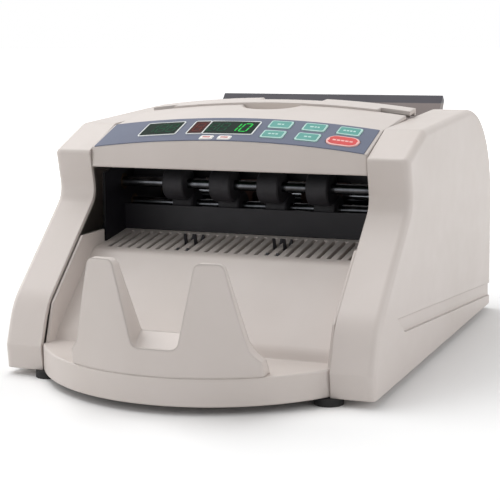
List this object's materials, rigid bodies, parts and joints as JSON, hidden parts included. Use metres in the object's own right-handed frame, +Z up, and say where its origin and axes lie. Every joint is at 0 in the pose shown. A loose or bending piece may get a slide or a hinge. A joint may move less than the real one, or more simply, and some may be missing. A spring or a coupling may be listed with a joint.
{
  "type": "banknote counting machine",
  "caption": "Desk-top banknote counter: roller feed behind a sloped key panel with display windows, leaning smoked note rest and a fork-fronted stacker tray.",
  "frame": {"origin": "on the table under the centre of the overall box", "axes": "+Z up, -Y the operator's side, +X to the operator's right"},
  "size_m": [0.22, 0.308, 0.1484],
  "materials": {
    "shell_plastic": "satin moulded, warm light grey",
    "overlay_print": "blue-grey printed sheet, satin",
    "key_teal": "teal moulded, satin",
    "key_red": "red moulded, satin",
    "green_window": "dark green filter, gloss",
    "red_window": "dark red filter, gloss",
    "lamp_lens": "pale diffuser",
    "smoked_plastic": "smoked, gloss",
    "black_plastic": "black moulded",
    "grey_plastic": "grey moulded",
    "black_steel": "black painted sheet",
    "zinc_steel": "zinc plated",
    "bright_steel": "ground shaft",
    "roller_rubber": "black rubber, ground",
    "feed_rubber": "brown rubber, ground",
    "belt_rubber": "black belt",
    "foot_rubber": "black rubber",
    "bush_bronze": "sintered bronze",
    "board_green": "green laminate",
    "display_grey": "digit block",
    "core_iron": "laminated core, varnished",
    "motor_can": "zinc plated can",
    "pulley_white": "white acetal"
  },
  "bodies": {
    "chassis": {"base_pan": "zinc_steel", "left_side_cover": "shell_plastic", "right_side_cover": "shell_plastic", "rear_cover": "shell_plastic", "console_housing": "shell_plastic", "control_overlay": "overlay_print", "batch_display_window": "green_window", "mode_digit_window": "red_window", "count_display_window": "green_window", "lamp_lenses": "lamp_lens", "display_board": "board_green", "display_modules": "display_grey", "key_switches": "black_plastic", "cover_pins": "bright_steel", "hopper_plate": "smoked_plastic", "hopper_floor": "black_plastic", "hopper_front": "black_plastic", "stacker_tray": "shell_plastic", "note_stop": "shell_plastic", "throat_panel": "black_plastic", "left_side_plate": "black_steel", "right_side_plate": "black_steel", "tie_rods": "zinc_steel", "shaft_bushes": "bush_bronze", "drive_motor": "motor_can", "drive_belts": "belt_rubber", "main_board": "board_green", "transformer": "core_iron", "sensor_bar": "black_plastic", "mains_inlet": "black_plastic", "feet": "foot_rubber", "rear_screws": "zinc_steel"},
    "feed_roller_unit": {"feed_shaft": "bright_steel", "feed_rollers": "feed_rubber", "feed_pulleys": "pulley_white"},
    "transport_unit": {"transport_shaft": "bright_steel", "transport_rollers": "roller_rubber", "transport_pulleys": "pulley_white"},
    "pinch_unit": {"pinch_shaft": "bright_steel", "pinch_rollers": "roller_rubber"},
    "stacker_unit": {"stacker_shaft": "bright_steel", "stacker_wheels": "black_plastic", "stacker_pulley": "pulley_white"},
    "pickup_unit": {"pickup_shaft": "bright_steel", "pickup_rollers": "feed_rubber", "pickup_pulley": "pulley_white"},
    "motor_spindle": {"motor_pulley": "zinc_steel"},
    "gap_adjuster": {"retard_shaft": "bright_steel", "retard_rollers": "roller_rubber", "gap_thumbwheel": "black_plastic"},
    "lid": {"access_cover": "shell_plastic"},
    "left_guide": {"left_note_guide": "grey_plastic"},
    "right_guide": {"right_note_guide": "grey_plastic"},
    "rocker": {"power_rocker": "black_plastic"},
    "add_one_key_cap": {"add_one_key": "key_teal"},
    "add_ten_key_cap": {"add_ten_key": "key_teal"},
    "preset_key_cap": {"preset_key": "key_teal"},
    "batch_key_cap": {"batch_key": "key_teal"},
    "detect_key_cap": {"detect_key": "key_teal"},
    "reset_key_cap": {"reset_key": "key_red"}
  },
  "joints": [
    {"name": "feed_spin", "type": "hinge", "parent": "chassis", "child": "feed_roller_unit", "pos_m": [0, 0.046, 0.086], "axis": [1, 0, 0], "continuous": true},
    {"name": "transport_spin", "type": "hinge", "parent": "chassis", "child": "transport_unit", "pos_m": [0, 0.00384, 0.08577], "axis": [1, 0, 0], "continuous": true},
    {"name": "pinch_spin", "type": "hinge", "parent": "chassis", "child": "pinch_unit", "pos_m": [0, -0.0092, 0.1], "axis": [1, 0, 0], "continuous": true},
    {"name": "stacker_spin", "type": "hinge", "parent": "chassis", "child": "stacker_unit", "pos_m": [0, -0.0295, 0.0565], "axis": [1, 0, 0], "continuous": true},
    {"name": "pickup_spin", "type": "hinge", "parent": "chassis", "child": "pickup_unit", "pos_m": [0, 0.088, 0.10226], "axis": [1, 0, 0], "continuous": true},
    {"name": "motor_spin", "type": "hinge", "parent": "chassis", "child": "motor_spindle", "pos_m": [0, 0.078, 0.038], "axis": [1, 0, 0], "continuous": true},
    {"name": "gap_turn", "type": "hinge", "parent": "chassis", "child": "gap_adjuster", "pos_m": [0, 0.03179, 0.10966], "axis": [1, 0, 0], "range_deg": [-90, 90]},
    {"name": "lid_hinge", "type": "hinge", "parent": "chassis", "child": "lid", "pos_m": [0, 0.0473, 0.1335], "axis": [-1, 0, 0], "range_deg": [0, 70]},
    {"name": "rocker_tip", "type": "hinge", "parent": "chassis", "child": "rocker", "pos_m": [0, 0.15125, 0.032], "axis": [-1, 0, 0], "range_deg": [0, 14]},
    {"name": "left_guide_slide", "type": "slide", "parent": "chassis", "child": "left_guide", "axis": [1, 0, 0], "range_m": [0, 0.025]},
    {"name": "right_guide_slide", "type": "slide", "parent": "chassis", "child": "right_guide", "axis": [-1, 0, 0], "range_m": [0, 0.025]},
    {"name": "add_one_key_press", "type": "slide", "parent": "chassis", "child": "add_one_key_cap", "axis": [-0.038, 0.3338, -0.9419], "range_m": [0, 0.001], "stiffness_N_per_m": 600},
    {"name": "add_ten_key_press", "type": "slide", "parent": "chassis", "child": "add_ten_key_cap", "axis": [-0.0678, 0.3338, -0.9402], "range_m": [0, 0.001], "stiffness_N_per_m": 600},
    {"name": "preset_key_press", "type": "slide", "parent": "chassis", "child": "preset_key_cap", "axis": [-0.0976, 0.3338, -0.9376], "range_m": [0, 0.001], "stiffness_N_per_m": 600},
    {"name": "batch_key_press", "type": "slide", "parent": "chassis", "child": "batch_key_cap", "axis": [-0.0382, 0.3338, -0.9419], "range_m": [0, 0.001], "stiffness_N_per_m": 600},
    {"name": "detect_key_press", "type": "slide", "parent": "chassis", "child": "detect_key_cap", "axis": [-0.0682, 0.3338, -0.9402], "range_m": [0, 0.001], "stiffness_N_per_m": 600},
    {"name": "reset_key_press", "type": "slide", "parent": "chassis", "child": "reset_key_cap", "axis": [-0.0982, 0.3338, -0.9375], "range_m": [0, 0.001], "stiffness_N_per_m": 600}
  ],
  "couplings": [
    {"joint": "transport_spin", "follows": "feed_spin", "ratio": 1.25},
    {"joint": "pinch_spin", "follows": "feed_spin", "ratio": -1.125},
    {"joint": "stacker_spin", "follows": "feed_spin", "ratio": 0.89286},
    {"joint": "pickup_spin", "follows": "feed_spin", "ratio": 1},
    {"joint": "motor_spin", "follows": "feed_spin", "ratio": 2.3333}
  ]
}
